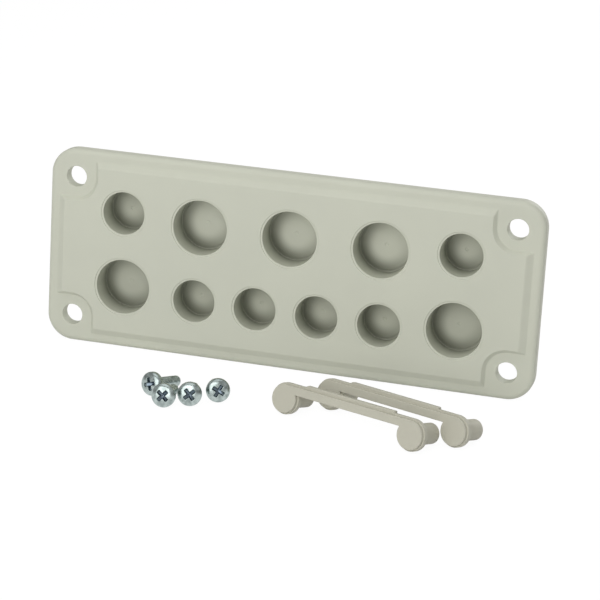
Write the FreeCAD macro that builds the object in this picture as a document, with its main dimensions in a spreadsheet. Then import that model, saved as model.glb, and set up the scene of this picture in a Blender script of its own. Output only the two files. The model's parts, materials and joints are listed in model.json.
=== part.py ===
import FreeCAD, Part
import math
import os
import re
import Sketcher

# Cable entry plate: one moulded flange with eleven blind entries, and its own fixings taken off,
# two strips with two threaded pins each and four pan head screws, lying in front of it.
# The origin is the middle of the four fixing holes on the seating face. +X runs along the plate,
# +Z is up, and the front of the plate looks towards -Y. Sizes are in millimetres.

doc = FreeCAD.newDocument("cable_entry_plate")
sheet = doc.addObject("Spreadsheet::Sheet", "Sizes")

SIZES = (
    # The flange, with the raised field on its front.
    ("plate_length", 240.0),
    ("plate_height", 95.0),
    ("corner_radius", 12.8),
    ("flange_thickness", 6.4),
    ("edge_round", 2.5),
    ("rim_width", 4.95),
    ("field_rise", 2.1),
    ("bevel_run", 3.0),
    # The fixing holes and the corner recesses round them.
    ("hole_from_end", 13.1),
    ("hole_from_long_edge", 13.3),
    ("fixing_hole", 10.0),
    ("recess_radius", 9.8),
    ("recess_wall_run", 1.6),
    ("boss_wall", 1.8),
    # The hollow back.
    ("cavity_margin", 9.2),
    ("face_thickness", 3.0),
    ("rib_thickness", 1.8),
    ("rib_setback", 1.0),
    # The entries: six small ones and five large ones, in two rows.
    ("small_bore", 20.5),
    ("large_bore", 26.4),
    ("upper_small_offset", 82.0),
    ("upper_large_pitch", 43.9),
    ("lower_small_pitch", 30.2),
    ("lower_large_offset", 81.1),
    ("small_row_height", 19.3),
    ("large_row_height", 16.8),
    ("well_depth", 13.0),
    ("cup_wall", 2.0),
    ("knockout_thickness", 2.0),
    # The strips with two pins each.
    ("pin_clearance", 0.6),
    ("pin_length", 13.5),
    ("pilot_bore", 4.2),
    ("pilot_depth", 11.0),
    ("disc_back_radius", 7.2),
    ("disc_front_radius", 6.5),
    ("back_layer", 2.6),
    ("front_layer", 1.6),
    ("bar_low", 2.7),
    ("crest_rise", 1.0),
    ("crest_inset", 10.3),
    # The screws.
    ("head_radius", 5.5),
    ("head_rim", 2.0),
    ("crown_radius", 3.4),
    ("head_height", 3.6),
    ("shank_radius", 2.6),
    ("shank_length", 18.0),
    ("cross_span", 5.6),
    ("cross_slot", 1.2),
    ("cross_depth", 2.2),
    # Where the loose pieces lie on the surface that the plate stands on, and how they are turned.
    ("front_strip_x", 51.7),
    ("front_strip_y", -80.2),
    ("front_strip_yaw", -21.7),
    ("rear_strip_x", 68.4),
    ("rear_strip_y", -66.4),
    ("rear_strip_yaw", -22.6),
    ("screw_1_x", -43.6),
    ("screw_1_y", -69.2),
    ("screw_1_yaw", -19.0),
    ("screw_2_x", -33.9),
    ("screw_2_y", -82.6),
    ("screw_2_yaw", 4.0),
    ("screw_3_x", -23.9),
    ("screw_3_y", -75.8),
    ("screw_3_yaw", 12.0),
    ("screw_4_x", -14.0),
    ("screw_4_y", -65.4),
    ("screw_4_yaw", 21.5),
)

for row, (alias, value) in enumerate(SIZES, start=1):
    sheet.set("A%d" % row, alias)
    sheet.set("B%d" % row, str(value))
    sheet.setAlias("B%d" % row, alias)
doc.recompute()

ALIASES = {alias for alias, value in SIZES}
# How far the fixing holes are from the plate's middle, which is also half the pitch of a strip's pins.
HOLE_X = "(plate_length / 2 - hole_from_end)"
HOLE_Y = "(plate_height / 2 - hole_from_long_edge)"
# The numbers by which a sketch knows its own axes and the points of a curve.
Y_AXIS, X_AXIS = range(-2, 0)
FIRST, SECOND, CENTRE = range(1, 4)
ORIGIN = (X_AXIS, FIRST)
LOCAL_X = FreeCAD.Vector(1, 0, 0)
UP = FreeCAD.Vector(0, 0, 1)


def size(alias):
    return float(sheet.get(alias))


def with_sheet(expression):
    # Puts the sheet's name before each alias in an expression.
    return re.sub(r"[a-z]\w+", lambda word: "Sizes." + word.group() if word.group() in ALIASES
                  else word.group(), expression)


def value_of(expression):
    # The number that an expression over the aliases stands for.
    return float(sheet.evalExpression(with_sheet(expression)))


def new_body(label):
    body = doc.addObject("PartDesign::Body", label)
    body.Label = label
    return body


def new_sketch(body, name, role="XY_Plane", offset=None):
    # A sketch on one of the body's own planes, moved along the plane's normal by an expression.
    sketch = body.newObject("Sketcher::SketchObject", name)
    plane = [item for item in body.Origin.OriginFeatures if item.Role == role][0]
    sketch.AttachmentSupport = [(plane, "")]
    sketch.MapMode = "FlatFace"
    if offset:
        sketch.setExpression("AttachmentOffset.Base.z", with_sheet(offset))
    doc.recompute()
    return sketch


def bind(sketch, kind, places, expression):
    # One dimension of the sketch, tied to the sheet.
    index = sketch.addConstraint(Sketcher.Constraint(kind, *places, value_of(expression)))
    sketch.setExpression("Constraints[%d]" % index, with_sheet(expression))


def place_point(sketch, point, x, y):
    # Ties a point to the origin. Each of x and y is a sign and an expression, or None on the axis.
    for kind, axis, where in (("DistanceX", Y_AXIS, x), ("DistanceY", X_AXIS, y)):
        if where is None:
            sketch.addConstraint(Sketcher.Constraint("PointOnObject", *point, axis))
        elif where[0] > 0:
            bind(sketch, kind, ORIGIN + point, where[1])
        else:
            bind(sketch, kind, point + ORIGIN, where[1])


def signed(where):
    return 0.0 if where is None else where[0] * value_of(where[1])


def add_circle(sketch, x, y, radius):
    centre = FreeCAD.Vector(signed(x), signed(y), 0)
    circle = sketch.addGeometry(Part.Circle(centre, UP, value_of(radius)), False)
    bind(sketch, "Radius", (circle,), radius)
    place_point(sketch, (circle, CENTRE), x, y)


def add_rectangle(sketch, left, right, low, high):
    # Each side is a sign and an expression, or None where it lies on the axis.
    x0, x1, y0, y1 = signed(left), signed(right), signed(low), signed(high)
    corners = [FreeCAD.Vector(*pair, 0) for pair in ((x0, y0), (x1, y0), (x1, y1), (x0, y1))]
    lines = []
    for index, corner in enumerate(corners):
        following = corners[(index + 1) % len(corners)]
        lines.append(sketch.addGeometry(Part.LineSegment(corner, following), False))
    for index, line in enumerate(lines):
        following = lines[(index + 1) % len(lines)]
        sketch.addConstraint(Sketcher.Constraint("Coincident", line, SECOND, following, FIRST))
        sketch.addConstraint(Sketcher.Constraint("Vertical" if index % 2 else "Horizontal", line))
    place_point(sketch, (lines[0], FIRST), left, low)
    place_point(sketch, (lines[2], FIRST), right, high)


def centred_rectangle(sketch, half_width, half_height):
    add_rectangle(sketch, (-1, half_width), (1, half_width), (-1, half_height), (1, half_height))


def extrude(body, kind, name, sketch, length, down=False):
    feature = body.newObject("PartDesign::" + kind, name)
    feature.Profile = sketch
    feature.setExpression("Length", with_sheet(length))
    feature.Reversed = down if kind == "Pad" else not down
    before = feature.BaseFeature.Shape.Volume if feature.BaseFeature else 0.0
    doc.recompute()
    grown = feature.Shape.Volume - before
    if grown * (1 if kind == "Pad" else -1) <= 0:
        raise RuntimeError("%s of %s changes nothing" % (name, body.Label))
    return feature


def edges_at(feature, test):
    # The names of the edges whose every end and middle passes the test.
    names = []
    for number, edge in enumerate(feature.Shape.Edges, start=1):
        middle = edge.valueAt((edge.FirstParameter + edge.LastParameter) / 2)
        points = [vertex.Point for vertex in edge.Vertexes] + [middle]
        if all(test(point) for point in points):
            names.append("Edge%d" % number)
    return names


def dress(body, kind, name, base, edges, expression):
    # A fillet or a chamfer on edges of the feature below it.
    feature = body.newObject("PartDesign::" + kind, name)
    feature.Base = (base, edges)
    feature.setExpression("Radius" if kind == "Fillet" else "Size", with_sheet(expression))
    doc.recompute()
    return feature


def upright_walls(feature, test):
    # The upright faces of the raised field whose middle passes the test.
    low, high = size("flange_thickness"), value_of("flange_thickness + field_rise")
    names = []
    for number, face in enumerate(feature.Shape.Faces, start=1):
        u0, u1, v0, v1 = face.ParameterRange
        normal = face.normalAt((u0 + u1) / 2, (v0 + v1) / 2)
        box = face.BoundBox
        if near(box.ZMin, low) and near(box.ZMax, high) and near(normal.z, 0) and test(face.CenterOfMass):
            names.append("Face%d" % number)
    return names


def slope_walls(body, name, base, faces, angle):
    # Leans walls inwards from the flange's front face upwards.
    feature = body.newObject("PartDesign::Draft", name)
    feature.Base = (base, faces)
    level = size("flange_thickness")
    for number, face in enumerate(base.Shape.Faces, start=1):
        if near(face.BoundBox.ZMin, level) and near(face.BoundBox.ZMax, level):
            feature.NeutralPlane = (base, ["Face%d" % number])
    feature.setExpression("Angle", with_sheet(angle))
    feature.Reversed = False
    doc.recompute()
    if feature.Shape.Volume >= base.Shape.Volume:
        feature.Reversed = True
        doc.recompute()
    return feature


def near(first, second):
    return abs(first - second) < 0.001


def entries():
    # Each entry's bore and the place of its centre, x then y, seen from the front.
    places = []
    for side in (-1, 1):
        places.append(("small_bore", (side, "upper_small_offset"), (1, "small_row_height")))
        places.append(("large_bore", (side, "upper_large_pitch"), (1, "large_row_height")))
        places.append(("small_bore", (side, "lower_small_pitch / 2"), (-1, "small_row_height")))
        places.append(("small_bore", (side, "3 * lower_small_pitch / 2"), (-1, "small_row_height")))
        places.append(("large_bore", (side, "lower_large_offset"), (-1, "large_row_height")))
    places.append(("large_bore", None, (1, "large_row_height")))
    return places


def entry_circles(sketch, change=""):
    # One circle for each entry, its radius being the bore's radius with the change added.
    for bore, x, y in entries():
        add_circle(sketch, x, y, bore + " / 2" + change)


def fixing_circles(sketch, radius):
    for side in (-1, 1):
        for level in (-1, 1):
            add_circle(sketch, (side, HOLE_X), (level, HOLE_Y), radius)


def add_corner(sketch, side, level, radius_text, reach_x, reach_y):
    # A corner outline: a quarter circle round the fixing hole, with straight legs outwards.
    x, y = side * value_of(HOLE_X), level * value_of(HOLE_Y)
    radius = value_of(radius_text)
    far_x, far_y = side * value_of(reach_x), level * value_of(reach_y)
    inner_x, inner_y = x - side * radius, y - level * radius
    bulge = radius * math.sqrt(0.5)
    arc = sketch.addGeometry(Part.Arc(
        FreeCAD.Vector(inner_x, y, 0),
        FreeCAD.Vector(x - side * bulge, y - level * bulge, 0),
        FreeCAD.Vector(x, inner_y, 0)), False)
    ends = [(x, inner_y), (far_x, inner_y), (far_x, far_y), (inner_x, far_y), (inner_x, y)]
    lines = []
    for start, stop in zip(ends, ends[1:]):
        segment = Part.LineSegment(FreeCAD.Vector(*start, 0), FreeCAD.Vector(*stop, 0))
        lines.append(sketch.addGeometry(segment, False))
    for index, line in enumerate(lines):
        sketch.addConstraint(Sketcher.Constraint("Vertical" if index % 2 else "Horizontal", line))
        if index:
            sketch.addConstraint(Sketcher.Constraint("Coincident", lines[index - 1], SECOND, line, FIRST))
    # An arc runs anticlockwise in its sketch, so on two of the corners its ends change places.
    mirrored = side * level < 0
    low_end, high_end = (FIRST, SECOND) if mirrored else (SECOND, FIRST)
    sketch.addConstraint(Sketcher.Constraint("Tangent", arc, low_end, lines[0], FIRST))
    sketch.addConstraint(Sketcher.Constraint("Tangent", arc, high_end, lines[-1], SECOND))
    bind(sketch, "Radius", (arc,), radius_text)
    place_point(sketch, (arc, CENTRE), (side, HOLE_X), (level, HOLE_Y))
    place_point(sketch, (lines[1], SECOND), (side, reach_x), (level, reach_y))


def four_corners(sketch, radius_text, reach_x, reach_y):
    for side in (-1, 1):
        for level in (-1, 1):
            add_corner(sketch, side, level, radius_text, reach_x, reach_y)


def entry_plate():
    body = new_body("entry_plate")
    face = "flange_thickness + field_rise"
    underside = "flange_thickness + field_rise - face_thickness"

    outline = new_sketch(body, "plate_outline")
    centred_rectangle(outline, "plate_length / 2", "plate_height / 2")
    flange = extrude(body, "Pad", "plate_flange", outline, "flange_thickness")
    upright = edges_at(flange, lambda point: near(abs(point.x), size("plate_length") / 2)
                       and near(abs(point.y), size("plate_height") / 2))
    rounded = dress(body, "Fillet", "plate_corners", flange, upright, "corner_radius")
    front = edges_at(rounded, lambda point: near(point.z, size("flange_thickness")))
    dress(body, "Fillet", "plate_front_edge", rounded, front, "edge_round")

    field_sketch = new_sketch(body, "field_outline", offset="flange_thickness")
    centred_rectangle(field_sketch, "plate_length / 2 - rim_width", "plate_height / 2 - rim_width")
    extrude(body, "Pad", "raised_field", field_sketch, "field_rise")

    recess_sketch = new_sketch(body, "recess_outlines", offset="flange_thickness")
    four_corners(recess_sketch, "recess_radius", "plate_length / 2", "plate_height / 2")
    field = extrude(body, "Pocket", "corner_recesses", recess_sketch, "field_rise")

    foot_x = value_of("plate_length / 2 - rim_width")
    foot_y = value_of("plate_height / 2 - rim_width")
    bevels = upright_walls(field, lambda point: near(abs(point.x), foot_x) or near(abs(point.y), foot_y))
    beveled = slope_walls(body, "field_bevels", field, bevels, "atan(bevel_run / field_rise)")
    recess_walls = upright_walls(beveled, lambda point: True)
    slope_walls(body, "recess_walls", beveled, recess_walls, "atan(recess_wall_run / field_rise)")

    cavity = new_sketch(body, "cavity_outline")
    centred_rectangle(cavity, "plate_length / 2 - cavity_margin", "plate_height / 2 - cavity_margin")
    extrude(body, "Pocket", "back_cavity", cavity, underside)

    bosses = new_sketch(body, "boss_outlines")
    boss_radius = "recess_radius + recess_wall_run + boss_wall"
    four_corners(bosses, boss_radius, "plate_length / 2 - rim_width", "plate_height / 2 - rim_width")
    extrude(body, "Pad", "fixing_bosses", bosses, underside)

    ribs = new_sketch(body, "rib_outline", offset="rib_setback")
    half_rib = "rib_thickness / 2"
    wall_x = "plate_length / 2 - cavity_margin"
    add_rectangle(ribs, (-1, wall_x), (1, wall_x), (-1, half_rib), (1, half_rib))
    extrude(body, "Pad", "long_rib", ribs, underside + " - rib_setback")

    cup_end = "flange_thickness + field_rise - well_depth - knockout_thickness"
    cups = new_sketch(body, "cup_outlines", offset=cup_end)
    entry_circles(cups, " + cup_wall")
    extrude(body, "Pad", "entry_cups", cups, "well_depth + knockout_thickness - face_thickness")

    mouths = new_sketch(body, "well_outlines", offset=face)
    entry_circles(mouths)
    extrude(body, "Pocket", "entry_wells", mouths, "well_depth", down=True)

    holes = new_sketch(body, "fixing_hole_outlines", offset=face)
    fixing_circles(holes, "fixing_hole / 2")
    extrude(body, "Pocket", "fixing_holes", holes, face, down=True)

    body.Placement = FreeCAD.Placement(FreeCAD.Vector(), FreeCAD.Rotation(LOCAL_X, 90))
    return body


def lying_placement(x, y, yaw, large_radius, small_radius, reach, spin=0.0):
    # A piece with a wide front end and a slim rear end lies on both, so its axis dips to the rear.
    # reach is how far the slim end's last edge is behind the wide end's rearmost edge.
    dip = math.degrees(math.atan((large_radius - small_radius) / reach))
    level = large_radius * math.cos(math.radians(dip)) - size("plate_height") / 2
    turn = FreeCAD.Rotation(UP, yaw)
    turn = turn.multiply(FreeCAD.Rotation(LOCAL_X, 90 - dip))
    turn = turn.multiply(FreeCAD.Rotation(UP, spin))
    return FreeCAD.Placement(FreeCAD.Vector(x, y, level), turn)


def pin_circles(sketch, radius):
    for side in (-1, 1):
        add_circle(sketch, (side, HOLE_Y), None, radius)


def mounting_strip(label, place):
    # A bar in two layers joins two round heads, each with a pin behind it that fits a fixing hole.
    body = new_body(label)
    pin_radius = "fixing_hole / 2 - pin_clearance / 2"
    crest_end = HOLE_Y + " - crest_inset"
    low = (1, "bar_low")
    full = "back_layer + front_layer"

    pins = new_sketch(body, label + "_pin_outlines")
    pin_circles(pins, pin_radius)
    # The pins alone are two separate solids, so the heads and the bar come first.
    heads = new_sketch(body, label + "_bar_outline")
    add_rectangle(heads, (-1, HOLE_Y), (1, HOLE_Y), low, (1, "disc_back_radius"))
    extrude(body, "Pad", label + "_bar", heads, "back_layer")

    crest = new_sketch(body, label + "_crest_outline")
    add_rectangle(crest, (-1, crest_end), (1, crest_end), low, (1, "disc_back_radius + crest_rise"))
    extrude(body, "Pad", label + "_crest", crest, "back_layer")

    discs = new_sketch(body, label + "_back_disc_outlines")
    pin_circles(discs, "disc_back_radius")
    extrude(body, "Pad", label + "_back_discs", discs, "back_layer")

    front_bar = new_sketch(body, label + "_front_bar_outline")
    add_rectangle(front_bar, (-1, HOLE_Y), (1, HOLE_Y), low, (1, "disc_front_radius"))
    extrude(body, "Pad", label + "_front_bar", front_bar, full)

    front_discs = new_sketch(body, label + "_front_disc_outlines")
    pin_circles(front_discs, "disc_front_radius")
    extrude(body, "Pad", label + "_front_discs", front_discs, full)
    extrude(body, "Pad", label + "_pins", pins, "pin_length", down=True)

    bores = new_sketch(body, label + "_pilot_outlines", offset="0 - pin_length")
    pin_circles(bores, "pilot_bore / 2")
    extrude(body, "Pocket", label + "_pilot_bores", bores, "pilot_depth")

    body.Placement = lying_placement(
        size(place + "_x"), size(place + "_y"), size(place + "_yaw"),
        size("disc_back_radius"), value_of(pin_radius), size("pin_length"))
    return body


def fixing_screw(label, place, spin):
    # A pan head screw about its own axis: the shank runs down from the head's underside.
    body = new_body(label)
    profile = new_sketch(body, label + "_profile", role="XZ_Plane")
    head, rim, top = size("head_radius"), size("head_rim"), size("head_height")
    shank, length, crown = size("shank_radius"), size("shank_length"), size("crown_radius")
    corners = [(0, top), (0, -length), (shank, -length), (shank, 0), (head, 0), (head, rim),
               (crown, top), (0, top)]
    lines = []
    for start, stop in zip(corners, corners[1:]):
        segment = Part.LineSegment(FreeCAD.Vector(*start, 0), FreeCAD.Vector(*stop, 0))
        lines.append(profile.addGeometry(segment, False))
    for first, second in zip(lines, lines[1:] + lines[:1]):
        profile.addConstraint(Sketcher.Constraint("Coincident", first, SECOND, second, FIRST))
    axis, end, side, underside, rim_side, cone, flat = lines
    for upright in (axis, side, rim_side):
        profile.addConstraint(Sketcher.Constraint("Vertical", upright))
    for level in (end, underside, flat):
        profile.addConstraint(Sketcher.Constraint("Horizontal", level))
    place_point(profile, (axis, FIRST), None, (1, "head_height"))
    place_point(profile, (end, SECOND), (1, "shank_radius"), (-1, "shank_length"))
    place_point(profile, (rim_side, FIRST), (1, "head_radius"), None)
    bind(profile, "DistanceY", (rim_side, FIRST, rim_side, SECOND), "head_rim")
    bind(profile, "DistanceX", ORIGIN + (cone, SECOND), "crown_radius")
    turned = body.newObject("PartDesign::Revolution", label + "_turned")
    turned.Profile = profile
    turned.ReferenceAxis = (profile, ["V_Axis"])
    doc.recompute()

    half_span, half_slot = "cross_span / 2", "cross_slot / 2"
    for name, across, along in (("slot_1", half_slot, half_span), ("slot_2", half_span, half_slot)):
        slot = new_sketch(body, "%s_%s_outline" % (label, name), offset="head_height")
        add_rectangle(slot, (-1, across), (1, across), (-1, along), (1, along))
        extrude(body, "Pocket", "%s_%s" % (label, name), slot, "cross_depth", down=True)

    body.Placement = lying_placement(
        size(place + "_x"), size(place + "_y"), size(place + "_yaw"),
        size("head_radius"), size("shank_radius"), size("shank_length"), spin)
    return body


SCREW_SPINS = (20.0, 65.0, 38.0, 5.0)

bodies = [entry_plate()]
bodies.append(mounting_strip("mounting_strip_1", "front_strip"))
bodies.append(mounting_strip("mounting_strip_2", "rear_strip"))
for number, screw_spin in enumerate(SCREW_SPINS, start=1):
    bodies.append(fixing_screw("fixing_screw_%d" % number, "screw_%d" % number, screw_spin))
doc.recompute()

for item in doc.Objects:
    if "Invalid" in item.State or "Error" in item.State:
        raise RuntimeError("%s failed: %s" % (item.Name, item.State))
for body in bodies:
    if body.Shape.isNull() or not body.Shape.isValid() or len(body.Shape.Solids) != 1:
        raise RuntimeError("%s is not one valid solid" % body.Label)

os.makedirs("parts", exist_ok=True)
for body in bodies:
    body.Shape.exportStep("parts/%s.step" % body.Label)
    print("%s: %.0f cubic millimetres" % (body.Label, body.Shape.Volume))
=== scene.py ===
"""Looks of the cable entry plate: the moulded plate, its two pinned strips and its four screws.

Every piece is worked out in millimetres in its own front view, x to the right, y up and z towards
whoever looks at its front, and is then turned and moved to where its solid lies.

Among the sizes, a land is how far a profile goes on over the flat that it meets, sunk is how far
a shape reaches into its neighbour, and those that start with dim size the shade painted into the
entries' colour, told where the plate works it out.
"""
import json
import logging
import math
from dataclasses import dataclass
from typing import Any, Sequence

import bmesh
import bpy
import numpy as np
from mathutils import Matrix, Vector
from mathutils.geometry import delaunay_2d_cdt


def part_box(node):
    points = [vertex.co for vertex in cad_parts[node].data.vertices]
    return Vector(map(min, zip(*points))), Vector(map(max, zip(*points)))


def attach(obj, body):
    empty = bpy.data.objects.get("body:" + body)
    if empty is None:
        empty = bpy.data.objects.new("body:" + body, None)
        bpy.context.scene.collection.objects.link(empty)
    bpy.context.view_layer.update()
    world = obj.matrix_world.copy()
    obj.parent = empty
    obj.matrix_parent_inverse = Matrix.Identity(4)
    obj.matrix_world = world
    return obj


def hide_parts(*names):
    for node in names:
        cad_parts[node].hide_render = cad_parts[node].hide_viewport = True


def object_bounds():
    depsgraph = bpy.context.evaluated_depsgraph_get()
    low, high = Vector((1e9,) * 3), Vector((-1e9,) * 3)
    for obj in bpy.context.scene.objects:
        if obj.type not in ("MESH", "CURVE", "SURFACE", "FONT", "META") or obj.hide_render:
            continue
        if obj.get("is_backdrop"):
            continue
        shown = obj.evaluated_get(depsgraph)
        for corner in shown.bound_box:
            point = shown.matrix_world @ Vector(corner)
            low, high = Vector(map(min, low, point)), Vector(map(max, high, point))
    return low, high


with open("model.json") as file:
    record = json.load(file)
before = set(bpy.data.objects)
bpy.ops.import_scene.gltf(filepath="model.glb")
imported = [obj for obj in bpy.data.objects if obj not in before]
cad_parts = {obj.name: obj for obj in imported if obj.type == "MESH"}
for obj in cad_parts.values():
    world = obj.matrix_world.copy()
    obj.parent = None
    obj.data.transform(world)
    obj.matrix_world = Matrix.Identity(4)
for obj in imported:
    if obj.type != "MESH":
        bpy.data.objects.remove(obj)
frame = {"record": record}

LOG = logging.getLogger("entry_plate")
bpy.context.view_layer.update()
BODY = "root"
MM = 0.001
MERGE_DISTANCE = 0.002 * MM
Outline = np.ndarray
Colour = tuple[float, float, float]
WHITE: Colour = (1.0, 1.0, 1.0)
CLOUD_FLOOR = 0.3
CLOUD_DETAIL = 3.0
GRAIN_DETAIL = 2.0


def turn_arc(centre: Sequence[float], radius: float, start: float, stop: float, count: int) -> Outline:
    """Points on an arc: the centre plus the radius times the cosine and sine of the angle.

    Args:
        centre: The arc's middle.
        radius: Its radius.
        start: The first angle, in degrees.
        stop: The last angle, in degrees.
        count: How many points it has, the two ends included.

    Returns:
        One row of x and y for each point.
    """
    angles = np.radians(np.linspace(start, stop, count))
    return np.array(centre) + radius * np.stack([np.cos(angles), np.sin(angles)], axis=1)


def ring(centre: Sequence[float], radius: float, count: int) -> Outline:
    """A closed circle of evenly spaced points, anticlockwise, without its first point again."""
    return turn_arc(centre, radius, 0.0, 360.0, count + 1)[:-1]


def full_turn(count: int) -> np.ndarray:
    """Evenly spaced angles round a full turn, in radians, without the first one again."""
    return np.linspace(0.0, 2 * math.pi, count, endpoint=False)


def bend(before: Sequence[float], corner: Sequence[float], after: Sequence[float],
         radius: float, count: int) -> Outline:
    """Rounds one corner by the arc that touches both of its sides.

    The arc starts on each side at the radius over the tangent of half the corner's angle, and its
    centre is on the line that halves the corner.

    Args:
        before: A point on the side that comes in.
        corner: The corner itself.
        after: A point on the side that goes out.
        radius: The arc's radius, or 0 for a sharp corner.
        count: How many points the arc has.

    Returns:
        The arc's points in order, or the corner alone.
    """
    corner = np.array(corner, float)
    if radius <= 0:
        return corner[None]
    to_before = np.array(before, float) - corner
    to_after = np.array(after, float) - corner
    to_before /= np.linalg.norm(to_before)
    to_after /= np.linalg.norm(to_after)
    half = math.acos(np.clip(to_before @ to_after, -1.0, 1.0)) / 2
    middle = to_before + to_after
    centre = corner + middle / np.linalg.norm(middle) * radius / math.sin(half)
    reach = radius / math.tan(half)
    first = corner + to_before * reach - centre
    last = corner + to_after * reach - centre
    sweep = math.pi - 2 * half
    share = np.linspace(0.0, 1.0, count)[:, None]
    return centre + (np.sin((1 - share) * sweep) * first + np.sin(share * sweep) * last) / math.sin(sweep)


def soften(corners: Sequence[Sequence[float]], radii: Sequence[float] | float, count: int) -> Outline:
    """Joins corners by straight sides and rounds each corner.

    A line that stays open has the radius 0 at its two ends.

    Args:
        corners: The corners in order, anticlockwise when closed.
        radii: One radius for each corner, or one for all.
        count: How many points each rounded corner has.

    Returns:
        One row for each point.
    """
    number = len(corners)
    radii = [radii] * number if isinstance(radii, (int, float)) else radii
    pieces = [bend(corners[index - 1], corners[index], corners[(index + 1) % number], radii[index], count)
              for index in range(number)]
    return np.concatenate(pieces)


def rounded(rows: Sequence[tuple[float, float, float]], count: int) -> Outline:
    """Makes an open profile from rows of a distance, a depth and the radius of the corner there."""
    return soften([row[:2] for row in rows], [row[2] for row in rows], count)


def inset(outline: Outline, distance: float) -> Outline:
    """Moves a closed anticlockwise outline inwards by a distance.

    Each point moves along the sum of its two sides' inward normals over one plus their product,
    which keeps both sides parallel to where they were.
    """
    along = np.roll(outline, -1, axis=0) - outline
    along /= np.linalg.norm(along, axis=1, keepdims=True)
    after = np.stack([-along[:, 1], along[:, 0]], axis=1)
    before = np.roll(after, 1, axis=0)
    together = 1.0 + np.sum(before * after, axis=1, keepdims=True)
    return outline + distance * (before + after) / together


def at_depth(outline: Outline, depth: float | np.ndarray) -> np.ndarray:
    """Gives each point of an outline its depth as a third number."""
    return np.column_stack([outline, np.broadcast_to(depth, len(outline))])


class Skin:
    """Gathers the surfaces of one piece and makes one closed mesh of them."""

    def __init__(self) -> None:
        """Starts with no surface."""
        self.points: list[np.ndarray] = []
        self.faces: list[list[int]] = []
        self.count = 0

    def add(self, points: np.ndarray, faces: np.ndarray) -> None:
        """Adds points and the faces between them, which count from 0."""
        self.points.append(points)
        self.faces.extend((np.asarray(faces) + self.count).tolist())
        self.count += len(points)

    def grid(self, rows: np.ndarray) -> None:
        """Joins neighbouring closed rows of points by four-sided faces.

        Args:
            rows: The points, one row for each outline, of x, y and z.
        """
        number, around = rows.shape[:2]
        here = np.arange(number * around).reshape(number, around)
        beside = np.roll(here, -1, axis=1)
        faces = np.stack([here[:-1], beside[:-1], beside[1:], here[1:]], axis=-1)
        self.add(rows.reshape(-1, 3), faces.reshape(-1, 4))

    def pole(self, row: np.ndarray) -> None:
        """Closes a row of points with triangles to its middle."""
        around = np.arange(len(row))
        middle = np.full(len(row), len(row))
        faces = np.stack([around, np.roll(around, -1), middle], axis=1)
        self.add(np.vstack([row, row.mean(axis=0)]), faces)

    def sweep(self, outline: Outline, profile: np.ndarray) -> None:
        """Carries a profile round an outline.

        Args:
            outline: A closed anticlockwise outline.
            profile: Rows of a distance inwards from the outline and a depth.
        """
        self.grid(np.stack([at_depth(inset(outline, inwards), depth) for inwards, depth in profile]))

    def lathe(self, centre: Sequence[float], profile: np.ndarray, around: int) -> None:
        """Turns a profile about an axis that points to the front.

        Args:
            centre: Where the axis is, x and y.
            profile: Rows of a radius and a depth. An end is closed where its radius is 0.
            around: How many points each row has.
        """
        open_rows = [at_depth(ring(centre, radius, around), depth) for radius, depth in profile if radius > 0]
        self.grid(np.stack(open_rows))
        if profile[0][0] <= 0:
            self.pole(open_rows[0])
        if profile[-1][0] <= 0:
            self.pole(open_rows[-1])

    def flat(self, outlines: Sequence[Outline], depth: float) -> None:
        """Fills the flat space inside the first outline and outside all the others.

        The points are joined into triangles that keep every side. A triangle stays where a line
        from its middle to the right crosses the outlines an odd number of times.
        """
        points = np.concatenate(outlines)
        sides, first = [], 0
        for outline in outlines:
            here = np.arange(len(outline)) + first
            sides.append(np.stack([here, np.roll(here, -1)], axis=1))
            first += len(outline)
        sides = np.concatenate(sides)
        joined = delaunay_2d_cdt([Vector(point) for point in points], sides.tolist(), [], 0, 1e-6)
        corners = np.array([tuple(point) for point in joined[0]])
        triangles = np.array(joined[2])
        middles = corners[triangles].mean(axis=1)
        x, y = middles[:, :1], middles[:, 1:]
        x0, y0 = points[sides[:, 0]].T
        x1, y1 = points[sides[:, 1]].T
        spans = (y0 > y) != (y1 > y)
        rise = np.where(y1 == y0, 1.0, y1 - y0)
        crossings = np.sum(spans & (x < x0 + (y - y0) * (x1 - x0) / rise), axis=1)
        self.add(at_depth(corners, depth), triangles[crossings % 2 == 1])

    def piece(self, name: str, placement: Matrix, finish: "Finish") -> bpy.types.Object:
        """Makes the mesh object, closed, with its faces outwards and its place in its mesh.

        Args:
            name: The object's name.
            placement: What turns and moves the front view, in metres, to the piece's place.
            finish: What the piece is made of.

        Returns:
            The object, at the origin.
        """
        mesh = bpy.data.meshes.new(name)
        points = np.concatenate(self.points) * MM
        turned = points @ np.array(placement.to_3x3()).T + np.array(placement.translation)
        mesh.from_pydata(turned.tolist(), [], self.faces)
        shape = bmesh.new()
        shape.from_mesh(mesh)
        bmesh.ops.remove_doubles(shape, verts=shape.verts, dist=MERGE_DISTANCE)
        bmesh.ops.dissolve_degenerate(shape, edges=shape.edges, dist=MERGE_DISTANCE)
        bmesh.ops.recalc_face_normals(shape, faces=shape.faces)
        open_edges = sum(1 for edge in shape.edges if not edge.is_manifold)
        shape.to_mesh(mesh)
        shape.free()
        mesh.shade_smooth()
        item = bpy.data.objects.new(name, mesh)
        bpy.context.scene.collection.objects.link(item)
        item.data.materials.append(finish.material())
        normals = item.modifiers.new("face_weighted_normals", "WEIGHTED_NORMAL")
        normals.weight = 100
        LOG.info("%s: %d faces, %d open edges", name, len(mesh.polygons), open_edges)
        return item


def mesh_places(item: bpy.types.Object) -> np.ndarray:
    """Where the object's mesh points are, in metres, one row for each."""
    places = np.empty(len(item.data.vertices) * 3, dtype=np.float32)
    item.data.vertices.foreach_get("co", places)
    return places.reshape(-1, 3)


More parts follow.
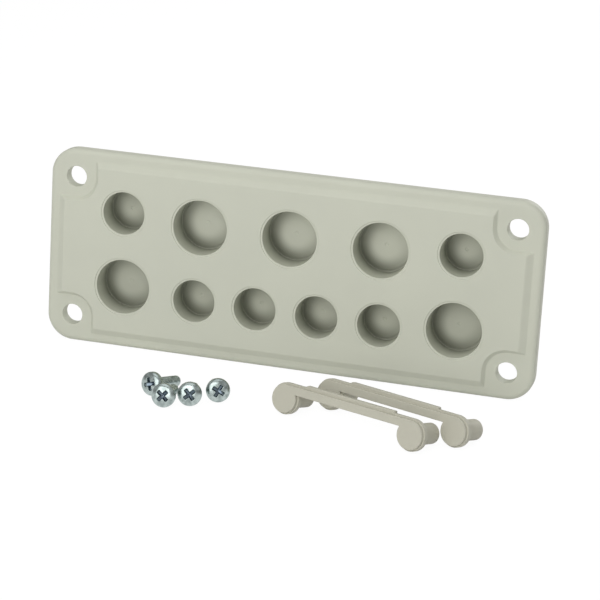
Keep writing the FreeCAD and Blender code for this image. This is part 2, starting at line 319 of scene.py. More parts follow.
def store_painted_shade(item: bpy.types.Object, dim: np.ndarray) -> None:
    """Stores in the object's mesh how far its colour goes over to the painted shade colour, 0 to 1."""
    stored = item.data.attributes.new("dim", "FLOAT", "POINT")
    stored.data.foreach_set("value", dim.astype(np.float32))


class Wave:
    """Wraps a socket that gives numbers, so that shader maths reads as plain arithmetic."""

    def __init__(self, shader: "Shader", socket: bpy.types.NodeSocket) -> None:
        """Keeps the socket and the shader that it belongs to."""
        self.shader = shader
        self.socket = socket

    def _with(self, operation: str, *values: "Wave | float") -> "Wave":
        """Adds a Math node of that operation and returns its result."""
        return self.shader.node("ShaderNodeMath", {"operation": operation}, dict(enumerate(values)))

    def __add__(self, other: "Wave | float") -> "Wave":
        """This value plus the other."""
        return self._with("ADD", self, other)

    __radd__ = __add__

    def __mul__(self, other: "Wave | float") -> "Wave":
        """This value times the other."""
        return self._with("MULTIPLY", self, other)

    __rmul__ = __mul__

    def __sub__(self, other: "Wave | float") -> "Wave":
        """This value less the other."""
        return self._with("SUBTRACT", self, other)

    def __rsub__(self, other: "Wave | float") -> "Wave":
        """The other value less this one."""
        return self._with("SUBTRACT", other, self)

    def __truediv__(self, other: "Wave | float") -> "Wave":
        """This value over the other."""
        return self._with("DIVIDE", self, other)

    def __rtruediv__(self, other: "Wave | float") -> "Wave":
        """The other value over this one."""
        return self._with("DIVIDE", other, self)


class Shader:
    """The node tree of a material or of the world."""

    def __init__(self, owner: bpy.types.Material | bpy.types.World) -> None:
        """Starts an empty tree on its owner."""
        owner.use_nodes = True
        self.owner = owner
        self.tree = owner.node_tree
        self.tree.nodes.clear()

    def node(self, kind: str, settings: dict[str, Any] | None = None,
             inputs: dict[str | int, Any] | None = None, output: str | int = 0) -> Wave:
        """Adds one node.

        Args:
            kind: The node's type.
            settings: Its properties. "stops" holds a ramp's places and colours.
            inputs: Values or links for its sockets, by name or number.
            output: Which of its outputs is wanted.

        Returns:
            The wanted output.
        """
        node = self.tree.nodes.new(kind)
        for key, value in (settings or {}).items():
            if key == "stops":
                ramp = node.color_ramp.elements
                while len(ramp) < len(value):
                    ramp.new(0.5)
                for element, (place, colour) in zip(ramp, value):
                    element.position = place
                    element.color = (*colour, 1.0)
            else:
                setattr(node, key, value)
        for key, value in (inputs or {}).items():
            if isinstance(value, Wave):
                self.tree.links.new(value.socket, node.inputs[key])
            elif isinstance(value, tuple) and len(value) == 3 and node.inputs[key].type == "RGBA":
                node.inputs[key].default_value = (*value, 1.0)
            else:
                node.inputs[key].default_value = value
        return Wave(self, node.outputs[output])

    def noise(self, size: float, detail: float) -> Wave:
        """Soft noise on the object's own coordinates.

        Args:
            size: How wide one patch is, in millimetres.
            detail: How many finer layers it has.

        Returns:
            Values about 0.5.
        """
        place = self.node("ShaderNodeTexCoord", output="Object")
        return self.node("ShaderNodeTexNoise", inputs={
            "Vector": place, "Scale": 1.0 / (size * MM), "Detail": detail, "Roughness": 0.5})

    def bump(self, height: Wave, strength: float, relief: float) -> Wave:
        """A normal bent by a height, whose full rise is the relief in millimetres."""
        return self.node("ShaderNodeBump", inputs={
            "Strength": strength, "Distance": relief * MM, "Height": height})

    def blend(self, share: Wave, first: Colour | Wave, second: Colour | Wave) -> Wave:
        """A colour that goes from the first to the second as the share goes from 0 to 1."""
        return self.node("ShaderNodeMix", {"data_type": "RGBA"}, {0: share, 6: first, 7: second}, output=2)

    def clouded(self, clouds: Wave, gain: float, first: Colour, second: Colour) -> Wave:
        """Goes from the first screen colour to the second as the clouds rise above their floor."""
        return self.blend((clouds - CLOUD_FLOOR) * gain, to_light(first), to_light(second))

    def shown_to_view(self) -> Wave:
        """1 on rays from the camera and on those that gloss or glass sends on, and else 0."""
        camera = self.node("ShaderNodeLightPath", output="Is Camera Ray")
        glossy = self.node("ShaderNodeLightPath", output="Is Glossy Ray")
        through = self.node("ShaderNodeLightPath", output="Is Transmission Ray")
        clamped_sum = {"operation": "ADD", "use_clamp": True}
        return self.node("ShaderNodeMath", clamped_sum, {0: camera + glossy, 1: through})

    def with_painted_shade(self, plain: Wave, dim: Colour) -> Wave:
        """The plain colour, which goes over to a painted shade colour as far as the mesh's stored painted
        shade value says.
        """
        share = self.node("ShaderNodeAttribute", {"attribute_name": "dim"}, output="Fac")
        return self.blend(share, plain, to_light(dim))

    def finish(self, surface: Wave, kind: str = "ShaderNodeOutputMaterial") -> Any:
        """Joins the surface to an output of that kind and returns the tree's owner."""
        output = self.tree.nodes.new(kind)
        self.tree.links.new(surface.socket, output.inputs["Surface"])
        return self.owner


class Finish:
    """What a piece is made of."""

    name: str

    def surface(self, shader: Shader) -> Wave:
        """Adds the finish's nodes and returns its surface."""
        raise NotImplementedError

    def material(self) -> bpy.types.Material:
        """The finish as a material, made once."""
        if self.name in bpy.data.materials:
            return bpy.data.materials[self.name]
        shader = Shader(bpy.data.materials.new(self.name))
        return shader.finish(self.surface(shader))


def to_light(colour: Sequence[float]) -> Colour:
    """Turns a colour as a screen shows it, 0 to 255, into amounts of light, 0 to 1.

    Below 10 the amount is the share over 12.92, and above it is the share plus 0.055, over 1.055,
    to the power 2.4.
    """
    share = np.array(colour, float) / 255.0
    light = np.where(share <= 0.04045, share / 12.92, ((share + 0.055) / 1.055) ** 2.4)
    return tuple(float(value) for value in light)


@dataclass(frozen=True)
class MouldedPlastic(Finish):
    """Matt moulded plastic: an even colour with faint clouds and a fine eroded grain.

    Where the mesh stores a painted shade value, the colour goes over to the painted shade colour: shade
    painted into the plastic's colour.
    """

    name: str
    colour: Colour
    shade: Colour
    # painted shade: the colour that the plastic goes over to in the depth of the entries
    dim: Colour = (108, 110, 96)
    roughness: float = 0.5
    roughness_swing: float = 0.12
    refraction: float = 1.47
    specular: float = 0.3
    cloud: float = 38.0
    cloud_gain: float = 1.6
    grain: float = 0.35
    relief: float = 0.006
    relief_strength: float = 0.6

    def surface(self, shader: Shader) -> Wave:
        """Adds the plastic's nodes and returns its surface."""
        clouds = shader.noise(self.cloud, CLOUD_DETAIL)
        grain = shader.noise(self.grain, GRAIN_DETAIL)
        plain = shader.clouded(clouds, self.cloud_gain, self.shade, self.colour)
        return shader.node("ShaderNodeBsdfPrincipled", inputs={
            "Base Color": shader.with_painted_shade(plain, self.dim),
            "Roughness": self.roughness + (grain - 0.5) * self.roughness_swing,
            "IOR": self.refraction,
            "Specular IOR Level": self.specular,
            "Normal": shader.bump(grain, self.relief_strength, self.relief)})


@dataclass(frozen=True)
class ZincPlate(Finish):
    """Bright bluish zinc on steel, with faint clouds, and a darker painted shade where the mesh stores it."""

    name: str
    colour: Colour
    shade: Colour
    # painted shade: the colour that the cross recess goes over to
    dim: Colour = (112, 124, 134)
    roughness: float = 0.24
    roughness_swing: float = 0.25
    cloud: float = 2.2
    cloud_gain: float = 2.0
    speckle: float = 0.25
    relief: float = 0.003
    relief_strength: float = 0.3

    def surface(self, shader: Shader) -> Wave:
        """Adds the plated metal's nodes and returns its surface."""
        clouds = shader.noise(self.cloud, CLOUD_DETAIL)
        speckle = shader.noise(self.speckle, GRAIN_DETAIL)
        plain = shader.clouded(clouds, self.cloud_gain, self.shade, self.colour)
        return shader.node("ShaderNodeBsdfPrincipled", inputs={
            "Base Color": shader.with_painted_shade(plain, self.dim),
            "Metallic": 1.0,
            "Roughness": self.roughness + (clouds - 0.5) * self.roughness_swing,
            "Normal": shader.bump(speckle, self.relief_strength, self.relief)})


PLATE_PLASTIC = MouldedPlastic("plate_moulding", (206, 208, 192), (201, 203, 188))
STRIP_PLASTIC = MouldedPlastic("strip_moulding", (196, 194, 179), (190, 188, 173))
SCREW_ZINC = ZincPlate("bright_zinc", (204, 216, 213), (138, 149, 147))


@dataclass(frozen=True)
class Entry:
    """One round blind entry: its centre and the radius of its wall."""

    centre: tuple[float, float]
    radius: float


def upright_placement() -> Matrix:
    """Stands a front view up, so that its front looks towards -Y."""
    return Matrix.Rotation(math.radians(90.0), 4, "X")


@dataclass
class EntryPlate:
    """The moulded plate: a flange, a raised field with blind entries, and a hollow back."""

    length: float = 240.0
    height: float = 95.0
    corner_radius: float = 12.8
    flange: float = 6.4
    edge_round: float = 2.5
    edge_land: float = 0.4
    rim: float = 4.95
    rise: float = 2.1
    bevel_run: float = 3.0
    bevel_bend: float = 0.14
    field_corner: float = 0.7
    recess_radius: float = 9.8
    recess_run: float = 1.6
    margin: float = 9.2
    boss_radius: float = 13.2
    hollow_corner: float = 0.8
    hollow_root: float = 0.6
    hollow_land: float = 0.7
    back_land: float = 0.5
    face: float = 3.0
    well_depth: float = 13.0
    well_land: float = 0.5
    mouth_ring: float = 1.0
    mouth_depth: float = 0.4
    mouth_draft: float = 0.05
    mouth_rounds: tuple[float, float, float] = (0.2, 0.12, 0.28)
    wall_shares: tuple[float, ...] = (0.3, 0.55, 0.75, 0.9)
    groove_width: float = 1.0
    groove_depth: float = 0.2
    groove_slope: float = 0.35
    groove_rounds: tuple[float, float, float] = (0.45, 0.3, 0.1)
    floor_start: float = 1.9
    floor_stop: float = 8.2
    floor_rows: int = 7
    mark_radius: float = 1.0
    mark_floor: float = 0.6
    mark_depth: float = 0.2
    mark_round: float = 0.12
    cup_wall: float = 2.0
    cup_land: float = 0.6
    cup_root: float = 0.5
    cup_edge: float = 0.6
    knockout: float = 2.0
    rib: float = 1.8
    rib_setback: float = 1.0
    rib_sunk: float = 0.3
    rib_edge: float = 0.4
    rib_land: float = 0.6
    soft_edge: float = 0.3
    hole_edge: float = 0.27
    hole_around: int = 64
    slack: float = 0.05
    small_radius: float = 11.0
    # the dim sizes set the shade painted into the colour deep in the entries, darkest at the wall's foot
    dim_power: float = 2.5
    dim_core: float = 0.4
    dim_skin: float = 0.3
    dim_wall: float = 0.8
    dim_band: float = 1.3
    dim_reach: float = 8.4
    dim_floor: float = 0.06
    dim_low_floor: float = 0.24
    dim_small_floor: float = 0.22
    around: int = 96

    def __post_init__(self) -> None:
        """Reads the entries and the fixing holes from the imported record."""
        self.entries: list[Entry] = []
        for mount in frame["record"]["mounts"]:
            if mount["kind"] == "bore":
                x, _, z = (value / MM for value in mount["pos_m"])
                self.entries.append(Entry((x, z), mount["dims"]["r_mm"]))
            elif mount["kind"] == "bolt_pattern":
                self.hole_x = mount["dims"]["spacing_x_mm"] / 2
                self.hole_y = mount["dims"]["spacing_y_mm"] / 2
                self.hole_radius = mount["dims"]["hole_r_mm"]
        self.front = self.flange + self.rise

    def outline(self) -> Outline:
        """The flange's outline, a rectangle with round corners."""
        x, y = self.length / 2, self.height / 2
        return soften(((x, -y), (x, y), (-x, y), (-x, -y)), self.corner_radius, 24)

    def notched(self, x: float, y: float, notch: float, corner: float) -> Outline:
        """A rectangle whose corners step back round the fixing holes.

        Args:
            x: Half its width.
            y: Half its height.
            notch: The radius of the step's inner corner, round the fixing hole.
            corner: The radius of the step's two outer corners.

        Returns:
            The closed outline, anticlockwise.
        """
        step_x, step_y = self.hole_x - notch, self.hole_y - notch
        quarter = ((x, step_y), (step_x, step_y), (step_x, y))
        corners = list(quarter)
        corners += [(-a, b) for a, b in reversed(quarter)]
        corners += [(-a, -b) for a, b in quarter]
        corners += [(a, -b) for a, b in reversed(quarter)]
        return soften(corners, [corner, notch, corner] * 4, 14)

    def field_outline(self, share: float) -> Outline:
        """The raised field's outline, share 0 at the foot of its walls and 1 at their top."""
        x = self.length / 2 - self.rim - self.bevel_run * share
        y = self.height / 2 - self.rim - self.bevel_run * share
        return self.notched(x, y, self.recess_radius + self.recess_run * share, self.field_corner)

    def fixing_holes(self) -> list[tuple[float, float]]:
        """The centres of the four fixing holes."""
        return [(side * self.hole_x, level * self.hole_y) for side in (-1, 1) for level in (-1, 1)]

    def hole_rims(self) -> list[Outline]:
        """The outer edges of the fixing holes' soft rims."""
        radius = self.hole_radius + self.soft_edge
        return [ring(centre, radius, self.hole_around) for centre in self.fixing_holes()]

    def add_edge(self, skin: Skin) -> Outline:
        """Adds the flange's outer wall with its round front edge, and returns its outline."""
        outline = self.outline()
        soft = self.soft_edge
        rows = ((2 * soft, 0.0, 0.0), (0.0, 0.0, soft), (0.0, self.flange, self.edge_round),
                (self.edge_round + self.edge_land, self.flange, 0.0))
        skin.sweep(outline, rounded(rows, 9))
        return outline

    def add_field(self, skin: Skin) -> tuple[Outline, Outline]:
        """Adds the raised field's sloped walls.

        The wall's height follows its share of the run, bent at the foot and at the top by a
        parabola over a small share on each side of the corner.

        Returns:
            The outlines where the walls start and where they end.
        """
        near = np.linspace(-self.bevel_bend, self.bevel_bend, 7)
        foot = (near + self.bevel_bend) ** 2 / (4 * self.bevel_bend)
        shares = np.concatenate([near, 1.0 + near])
        heights = np.concatenate([foot, 1.0 - foot[::-1]])
        rows = [at_depth(self.field_outline(share), self.flange + self.rise * height)
                for share, height in zip(shares, heights)]
        skin.grid(np.stack(rows))
        return self.field_outline(shares[0]), self.field_outline(shares[-1])

    def add_well(self, skin: Skin, entry: Entry) -> Outline:
        """Adds one entry's mouth ring, wall and floor, and returns the edge of its mouth.

        The profile goes from the face over the ring's edge, down to the ring, over the wall's
        edge, down the wall, through the groove round the knockout, and up to the floor and its
        mark. The rows along the wall and the floor are there for the painted shade value.
        """
        wall, front = entry.radius, self.front
        ring_level = front - self.mouth_depth
        floor = front - self.well_depth
        deep = floor - self.groove_depth
        island = wall - self.groove_width
        mouth = wall + self.mouth_ring
        mark = floor - self.mark_depth
        lip_round, ring_round, wall_round = self.mouth_rounds
        foot_round, groove_round, island_round = self.groove_rounds
        rows = (
            (mouth + self.well_land, front, 0.0),
            (mouth, front, lip_round),
            (mouth - self.mouth_draft, ring_level, ring_round),
            (wall, ring_level, wall_round),
            *((wall, ring_level + (deep - ring_level) * share, 0.0) for share in self.wall_shares),
            (wall, deep, foot_round),
            (island, deep, groove_round),
            (island - self.groove_slope, floor, island_round),
            *((wall - reach, floor, 0.0)
              for reach in np.linspace(self.floor_start, self.floor_stop, self.floor_rows)),
            (self.mark_radius, floor, self.mark_round),
            (self.mark_floor, mark, self.mark_round),
            (0.0, mark, 0.0))
        skin.lathe(entry.centre, rounded(rows, 7), self.around)
        return ring(entry.centre, mouth + self.well_land, self.around)

    def floor_painted_shade(self, entry: Entry) -> float:
        """How much painted shade the middle of an entry's floor has: least in the large upper entries."""
        if entry.radius < self.small_radius:
            return self.dim_small_floor
        return self.dim_floor if entry.centre[1] > 0 else self.dim_low_floor

    def paint_well_shade(self, item: bpy.types.Object) -> None:
        """Stores the shade painted into the plastic's colour in the depth of each entry.

        The painted shade grows with the depth to the power dim_power, from 0 at the mouth, and a wall
        has dim_wall of it. Across a floor it is 1 as far as dim_band from the wall, and then falls to
        the floor's own by a smooth step. What it has above the floor's own is taken times half of
        one less the cosine of the turn from the upper right, so that the painted shade lies mostly to
        the lower left of each entry, where its shadow falls.
        """
        x, back, y = mesh_places(item).T / MM
        depth = self.front + back
        sunk = np.clip(depth / self.well_depth, 0.0, 1.0)
        dim = np.zeros(len(x))
        for entry in self.entries:
            across, upwards = x - entry.centre[0], y - entry.centre[1]
            radius = np.hypot(across, upwards)
            outer = np.maximum(radius, self.dim_core * entry.radius)
            away = 0.5 - 0.5 * (across + upwards) / (math.sqrt(2.0) * outer)
            inwards = entry.radius + self.slack - radius
            inside = (inwards > 0.0) & (depth < self.well_depth + self.groove_depth + self.slack)
            share = np.clip((inwards - self.dim_band) / (self.dim_reach - self.dim_band), 0.0, 1.0)
            step = 1.0 - share * share * (3.0 - 2.0 * share)
            own = self.floor_painted_shade(entry)
            level = own + (1.0 - own) * step * np.clip(away, 0.0, 1.0)
            on_wall = np.where(inwards < self.dim_skin, self.dim_wall, 1.0)
            dim = np.where(inside, sunk ** self.dim_power * level * on_wall, dim)
        store_painted_shade(item, dim)

    def add_cup(self, skin: Skin, entry: Entry, ceiling: float) -> Outline:
        """Adds the outside of one entry behind the plate, and returns where it meets the ceiling."""
        wall = entry.radius + self.cup_wall
        end = self.front - self.well_depth - self.knockout
        rows = ((wall + self.cup_land, ceiling, 0.0), (wall, ceiling, self.cup_root),
                (wall, end, self.cup_edge), (0.0, end, 0.0))
        skin.lathe(entry.centre, rounded(rows, 6), self.around)
        return ring(entry.centre, wall + self.cup_land, self.around)

    def add_hollow(self, skin: Skin) -> Outline:
        """Adds the hollow back with the cups and the long rib, and returns the hollow's mouth."""
        x = self.length / 2 - self.margin
        y = self.height / 2 - self.margin
        ceiling = self.front - self.face
        hollow = self.notched(x, y, self.boss_radius, self.hollow_corner)
        rows = ((-self.back_land, 0.0, 0.0), (0.0, 0.0, self.soft_edge),
                (0.0, ceiling, self.hollow_root), (self.hollow_land, ceiling, 0.0))
        skin.sweep(hollow, rounded(rows, 6))
        cups = [self.add_cup(skin, entry, ceiling) for entry in self.entries]
        skin.flat([inset(hollow, self.hollow_land), *cups], ceiling)
        self.add_rib(skin, x + self.rib_sunk, ceiling + self.rib_sunk)
        return inset(hollow, -self.back_land)

    def add_rib(self, skin: Skin, half_length: float, root: float) -> None:
        """Adds the long rib, a closed bar whose ends and root are sunk into the plate."""
        x, y = half_length, self.rib / 2
        plan = np.array(((x, -y), (x, y), (-x, y), (-x, -y)))
        rows = ((0.0, root, 0.0), (0.0, self.rib_setback, self.rib_edge),
                (self.rib_land, self.rib_setback, 0.0))
        skin.sweep(plan, rounded(rows, 5))
        skin.flat([plan], root)
        skin.flat([inset(plan, self.rib_land)], self.rib_setback)

    def build(self) -> bpy.types.Object:
        """Makes the plate."""
        skin = Skin()
        outline = self.add_edge(skin)
        foot, crest = self.add_field(skin)
        mouths = [self.add_well(skin, entry) for entry in self.entries]
        back_mouth = self.add_hollow(skin)
        rims = self.hole_rims()
        land = self.hole_radius + self.soft_edge
        rows = ((land, 0.0, 0.0), (self.hole_radius, 0.0, self.hole_edge),
                (self.hole_radius, self.flange, self.hole_edge), (land, self.flange, 0.0))
        for centre in self.fixing_holes():
            skin.lathe(centre, rounded(rows, 5), self.hole_around)
        skin.flat([inset(outline, self.edge_round + self.edge_land), foot, *rims], self.flange)
        skin.flat([crest, *mouths], self.front)
        skin.flat([inset(outline, 2 * self.soft_edge), back_mouth, *rims], 0.0)
        item = skin.piece("moulded_plate", upright_placement(), PLATE_PLASTIC)
        # paints shade into the colour in the depth of the entries
        self.paint_well_shade(item)
        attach(item, BODY)
        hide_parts("entry_plate")
        return item


def lie_down(yaw: float, wide: float, slim: float, reach: float) -> Matrix:
    """Turns a piece with a wide front and a slim rear so that it lies on both.

    Its axis dips to the rear by the angle whose tangent is the difference of the two radii over
    the distance between them.

    Args:
        yaw: How far it is turned about the vertical, in degrees.
        wide: The radius of its wide end.
        slim: The radius of its slim end.
        reach: The distance between the two edges that it lies on.

    Returns:
        The turn, with no move.
    """
    dip = math.atan((wide - slim) / reach)
    return Matrix.Rotation(math.radians(yaw), 4, "Z") @ Matrix.Rotation(math.pi / 2 - dip, 4, "X")


def placed_at(node: str, turn: Matrix, skin: Skin) -> Matrix:
    """The turn, with the move that puts the skin's box on the middle of the node's box."""
    low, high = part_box(node)
    points = np.concatenate(skin.points) * MM @ np.array(turn.to_3x3()).T
    middle = (points.min(axis=0) + points.max(axis=0)) / 2
    return Matrix.Translation((low + high) / 2 - Vector(middle)) @ turn


@dataclass
class MountingStrip:
    """A strip: two round heads with a pin behind each, joined by a bar in two layers."""

    pitch: float = 68.4
    back_radius: float = 7.2
    front_radius: float = 6.5
    back_layer: float = 2.6
    front_layer: float = 1.6
    bar_low: float = 2.7
    crest_rise: float = 1.0
    crest_inset: float = 10.3
    pin_radius: float = 4.7
    pin_length: float = 13.5
    pin_chamfer: float = 0.5
    pin_round: float = 0.15
    pilot_radius: float = 2.1
    pilot_depth: float = 11.0
    pilot_round: float = 0.2
    pilot_root: float = 0.3
    pin_around: int = 64
    soft_edge: float = 0.35
    edge_land: float = 0.385
    sunk: float = 0.3
    crest_foot: float = 0.3
    crest_top: float = 0.5
    arc_points: int = 44

    def layer(self, level: float, crest: float) -> Outline:
        """The outline of one layer, anticlockwise from the bar's low edge at the right head.

        Args:
            level: The heads' radius, which is also the height of the bar's upper edge.
            crest: How much higher the bar's middle is.

        Returns:
            The closed outline.
        """
        half = self.pitch / 2
        dip = math.degrees(math.asin(self.bar_low / level))
        right = turn_arc((half, 0.0), level, 180.0 - dip, 450.0, self.arc_points)
        left = turn_arc((-half, 0.0), level, 90.0, 360.0 + dip, self.arc_points)
        if crest <= 0:
            return np.concatenate([right, left])
        end, top = half - self.crest_inset, level + crest
        path = ((half, level), (end, level), (end, top), (-end, top), (-end, level), (-half, level))
        radii = (self.crest_foot, self.crest_top, self.crest_top, self.crest_foot)
        corners = [bend(path[index - 1], path[index], path[index + 1], radius, 5)
                   for index, radius in enumerate(radii, start=1)]
        return np.concatenate([right, *corners, left])

    def build(self, name: str, node: str, yaw: float) -> bpy.types.Object:
        """Makes one strip where its solid lies.

        Args:
            name: The object's name.
            node: The solid's name.
            yaw: How far the strip is turned about the vertical, in degrees.

        Returns:
            The object.
        """
        skin = Skin()
        soft, land, full = self.soft_edge, self.edge_land, self.back_layer + self.front_layer
        layers = ((self.layer(self.back_radius, self.crest_rise), 0.0, self.back_layer),
                  (self.layer(self.front_radius, 0.0), self.back_layer - self.sunk, full))
        for outline, low, high in layers:
            rows = ((land, low, 0.0), (0.0, low, soft), (0.0, high, soft), (land, high, 0.0))
            skin.sweep(outline, rounded(rows, 6))
            skin.flat([inset(outline, land)], low)
            skin.flat([inset(outline, land)], high)
        tip = -self.pin_length
        rows = ((0.0, self.sunk, 0.0),
                (self.pin_radius, self.sunk, 0.0),
                (self.pin_radius, tip + self.pin_chamfer, self.pin_round),
                (self.pin_radius - self.pin_chamfer, tip, self.pin_round),
                (self.pilot_radius, tip, self.pilot_round),
                (self.pilot_radius, tip + self.pilot_depth, self.pilot_root),
                (0.0, tip + self.pilot_depth, 0.0))
        for side in (-1, 1):
            skin.lathe((side * self.pitch / 2, 0.0), rounded(rows, 5), self.pin_around)
        turn = lie_down(yaw, self.back_radius, self.pin_radius, self.pin_length)
        item = skin.piece(name, placed_at(node, turn, skin), STRIP_PLASTIC)
        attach(item, BODY)
        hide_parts(node)
        return item


@dataclass
class FixingScrew:
    """A pan head screw with a cross recess and a fine thread."""

    head_radius: float = 5.5
    head_height: float = 3.6
    rim: float = 1.5
    rim_round: float = 0.25
    crown_start: float = 0.02
    crown_middle: float = 0.62
    crown_rows: int = 44
    crown_edge_rows: int = 14
    crown_power: float = 3.4
    thread_radius: float = 2.6
    thread_depth: float = 0.12
    pitch: float = 0.8
    length: float = 18.0
    tip: float = 0.8
    sunk: float = 0.3
    fade_start: float = 0.2
    fade_length: float = 0.6
    rows_in_turn: int = 9
    cross_span: float = 6.2
    cross_width: float = 1.8
    cross_slope: float = 0.22
    cross_depth: float = 2.7
    # how much painted shade the cross recess gets for its depth
    recess_shade_gain: float = 1.6
    around_head: int = 144
    around_shank: int = 48

    def recess(self, x: np.ndarray, y: np.ndarray, spin: float) -> np.ndarray:
        """How far the cross recess sinks at places on the head, as a share of its depth.

        Across an arm the share goes from 0 to 1 over cross_slope. Along the arms it is the root
        of one less the distance from the middle over half the span.

        Args:
            x: How far right of the middle.
            y: How far above it.
            spin: How far the cross is turned, in degrees.

        Returns:
            One share for each place.
        """
        turned = math.radians(spin)
        across = x * math.cos(turned) + y * math.sin(turned)
        along = y * math.cos(turned) - x * math.sin(turned)
        thin = np.minimum(np.abs(across), np.abs(along))
        arm = np.clip((self.cross_width / 2 - thin) / self.cross_slope, 0.0, 1.0)
        reach = np.clip(1.0 - np.hypot(x, y) / (self.cross_span / 2), 0.0, 1.0)
        return arm * np.sqrt(reach)

    def add_head(self, skin: Skin, spin: float) -> None:
        """Adds the head, its top sunk where the cross recess is.

        With the radius as a share of the head's own, the crown rises above the rim by the root of
        one less the share to the power crown_power. The rows lie evenly up to crown_middle, where
        the recess is, and then closer and closer up to the edge, by a sine.
        """
        angles = full_turn(self.around_head)
        inner = np.linspace(self.crown_start, self.crown_middle, self.crown_rows)
        towards_edge = np.sin(np.linspace(0.0, math.pi / 2, self.crown_edge_rows))[1:]
        share = np.concatenate([inner, self.crown_middle + (1.0 - self.crown_middle) * towards_edge])
        rounding = np.sqrt(np.clip(1.0 - share ** self.crown_power, 0.0, 1.0))
        crown = self.rim + (self.head_height - self.rim) * rounding
        radius = share * self.head_radius
        x = radius[:, None] * np.cos(angles)
        y = radius[:, None] * np.sin(angles)
        sunk = self.recess(x, y, spin)
        top = np.stack([x, y, crown[:, None] - self.cross_depth * sunk], axis=-1)
        skin.grid(top)
        skin.pole(top[0])
        rows = ((self.head_radius, self.rim, 0.0), (self.head_radius, 0.0, self.rim_round), (0.0, 0.0, 0.0))
        skin.lathe((0.0, 0.0), rounded(rows, 5), self.around_head)

    def add_shank(self, skin: Skin) -> None:
        """Adds the shank with its thread.

        The radius is the thread's own less the thread's depth times half of one minus the cosine
        of the turns, which grow with the distance along the shank and with the angle. The thread
        fades in under the head, and the tip narrows over its chamfer.
        """
        depth = np.linspace(self.sunk, -self.length, int(self.length / self.pitch * self.rows_in_turn))
        angles = full_turn(self.around_shank)
        turns = depth[:, None] / self.pitch - angles / (2 * math.pi)
        fade = np.clip((-depth - self.fade_start) / self.fade_length, 0.0, 1.0)[:, None]
        groove = self.thread_depth * (0.5 - 0.5 * np.cos(2 * math.pi * turns)) * fade
        narrowing = np.clip((-depth - (self.length - self.tip)) / self.tip, 0.0, 1.0)[:, None] * self.tip
        radius = np.minimum(self.thread_radius - groove, self.thread_radius - narrowing)
        rows = np.stack([radius * np.cos(angles), radius * np.sin(angles),
                         np.broadcast_to(depth[:, None], radius.shape)], axis=-1)
        skin.grid(rows)
        skin.pole(rows[0])
        skin.pole(rows[-1])

    def build(self, name: str, node: str, yaw: float, spin: float) -> bpy.types.Object:
        """Makes one screw where its solid lies.

        Args:
            name: The object's name.
            node: The solid's name.
            yaw: How far the screw is turned about the vertical, in degrees.
            spin: How far its cross recess is turned about its own axis, in degrees.

        Returns:
            The object.
        """
        skin = Skin()
        self.add_head(skin, spin)
        self.add_shank(skin)
        turn = lie_down(yaw, self.head_radius, self.thread_radius, self.length)
        placement = placed_at(node, turn, skin)
        item = skin.piece(name, placement, SCREW_ZINC)
        # painted shade: the head's top goes darker where the cross recess sinks in
        moved = mesh_places(item) - np.array(placement.translation)
        x, y, height = (moved @ np.array(placement.to_3x3()) / MM).T
        dim = np.minimum(self.recess(x, y, spin) * self.recess_shade_gain, 1.0)
        store_painted_shade(item, np.where(height > self.rim / 2, dim, 0.0))
        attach(item, BODY)
        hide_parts(node)
        return item


@dataclass(frozen=True)
class Lamp:
    """A square soft lamp that looks at the plate."""

    name: str
    place: tuple[float, float, float]
    width: float
    power: float

    def build(self) -> None:
        """Makes the lamp."""
        light = bpy.data.lights.new(self.name, "AREA")
        light.shape = "SQUARE"
        light.size = self.width
        light.energy = self.power
        item = bpy.data.objects.new(self.name, light)
        item.location = self.place
        item.rotation_euler = (-Vector(self.place)).to_track_quat("-Z", "Y").to_euler()
        bpy.context.scene.collection.objects.link(item)


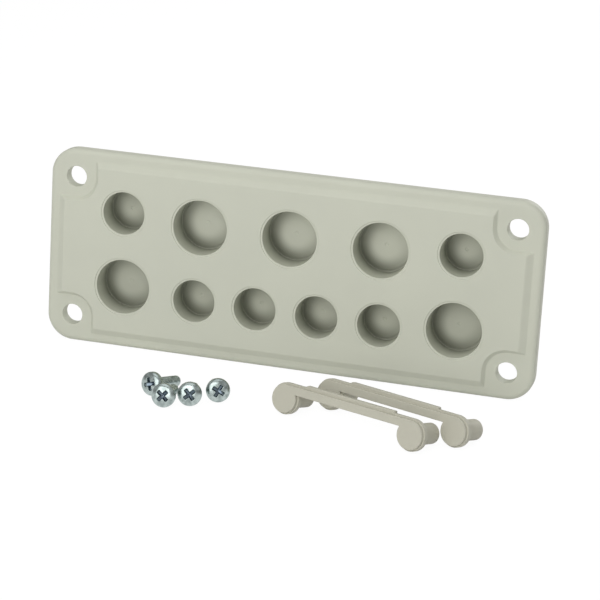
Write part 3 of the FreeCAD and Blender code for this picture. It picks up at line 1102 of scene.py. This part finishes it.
@dataclass
class Studio:
    """The floor, the world, the lamps and the camera."""

    floor_size: float = 6.0
    floor_grey: Colour = (0.8, 0.8, 0.8)
    camera_place: tuple[float, float, float] = (283.9, -1065.3, 299.6)
    camera_forward: tuple[float, float, float] = (-0.2438, 0.9303, -0.2740)
    camera_up: tuple[float, float, float] = (-0.1262, 0.2497, 0.9601)
    lens: float = 145.24
    sensor: float = 36.0
    near: float = 0.01
    ambient: float = 0.38
    floor_glow: float = 0.9
    floor_white: float = 1.06
    room: tuple[tuple[float, Colour], ...] = (
        (0.0, (0.8, 0.8, 0.8)), (0.2, (0.25, 0.25, 0.25)), (0.5, (0.6, 0.6, 0.6)), (1.0, (0.3, 0.3, 0.3)))
    lamps: tuple[Lamp, ...] = (
        Lamp("key_lamp", (-0.10, -0.95, 0.32), 0.9, 5.1),
        Lamp("top_lamp", (-0.05, -0.1, 0.8), 0.8, 1.9),
        Lamp("back_lamp", (0.5, 1.1, 0.5), 0.9, 5.0),
    )

    def build_floor(self) -> None:
        """Makes the pale floor, which shows white with a faint shadow."""
        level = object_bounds()[0][2]
        half = self.floor_size / 2
        mesh = bpy.data.meshes.new("floor")
        corners = [(-half, -half, level), (half, -half, level), (half, half, level), (-half, half, level)]
        mesh.from_pydata(corners, [], [(0, 1, 2, 3)])
        floor = bpy.data.objects.new("floor", mesh)
        bpy.context.scene.collection.objects.link(floor)
        shader = Shader(bpy.data.materials.new("floor_paint"))
        matt = shader.node("ShaderNodeBsdfDiffuse", inputs={"Color": self.floor_grey})
        glow = shader.node("ShaderNodeEmission", inputs={"Color": WHITE, "Strength": self.floor_white})
        share = shader.shown_to_view() * self.floor_glow
        floor.data.materials.append(shader.finish(
            shader.node("ShaderNodeMixShader", inputs={0: share, 1: matt, 2: glow})))
        floor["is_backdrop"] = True

    def build_world(self) -> None:
        """Makes the world: even pale light, plain white to the camera, and a room to gloss.

        What gloss shows is white near the floor and darker the higher it looks.
        """
        shader = Shader(bpy.data.worlds.new("studio"))
        even = shader.node("ShaderNodeBackground", inputs={"Color": WHITE, "Strength": self.ambient})
        white = shader.node("ShaderNodeBackground", inputs={"Color": WHITE, "Strength": 1.0})
        direction = shader.node("ShaderNodeTexCoord", output="Object")
        height = shader.node("ShaderNodeSeparateXYZ", inputs={0: direction}, output="Z")
        room = shader.node("ShaderNodeValToRGB", {"stops": self.room}, {0: height})
        gloss = shader.node("ShaderNodeBackground", inputs={"Color": room, "Strength": 1.0})
        glossy = shader.node("ShaderNodeLightPath", output="Is Glossy Ray")
        unseen = shader.node("ShaderNodeMixShader", inputs={0: glossy, 1: even, 2: gloss})
        camera = shader.node("ShaderNodeLightPath", output="Is Camera Ray")
        both = shader.node("ShaderNodeMixShader", inputs={0: camera, 1: unseen, 2: white})
        bpy.context.scene.world = shader.finish(both, "ShaderNodeOutputWorld")

    def build_camera(self) -> None:
        """Makes the camera at the photograph's place."""
        data = bpy.data.cameras.new("camera")
        data.lens = self.lens
        data.sensor_width = self.sensor
        data.clip_start = self.near
        camera = bpy.data.objects.new("camera", data)
        back = -Vector(self.camera_forward).normalized()
        right = Vector(self.camera_up).cross(back).normalized()
        up = back.cross(right)
        turn = Matrix((right, up, back)).transposed().to_4x4()
        camera.matrix_world = Matrix.Translation(Vector(self.camera_place) * MM) @ turn
        bpy.context.scene.collection.objects.link(camera)
        bpy.context.scene.camera = camera

    def build(self) -> None:
        """Makes everything round the object."""
        bpy.context.scene.view_settings.view_transform = "Standard"
        self.build_world()
        self.build_floor()
        for lamp in self.lamps:
            lamp.build()
        self.build_camera()


STRIP_YAWS = (-21.7, -22.6)
SCREW_YAWS = (-19.0, 4.0, 12.0, 21.5)
SCREW_SPINS = (20.0, 48.0, 40.0, 60.0)


def main() -> None:
    """Builds the pieces in order, and then what is round them."""
    logging.basicConfig(level=logging.INFO, format="%(message)s")
    EntryPlate().build()
    for number, yaw in enumerate(STRIP_YAWS, start=1):
        MountingStrip().build(f"pinned_strip_{number}", f"mounting_strip_{number}", yaw)
    for number, (yaw, spin) in enumerate(zip(SCREW_YAWS, SCREW_SPINS), start=1):
        FixingScrew().build(f"pan_head_screw_{number}", f"fixing_screw_{number}", yaw, spin)
    Studio().build()


if __name__ == "__main__":
    main()
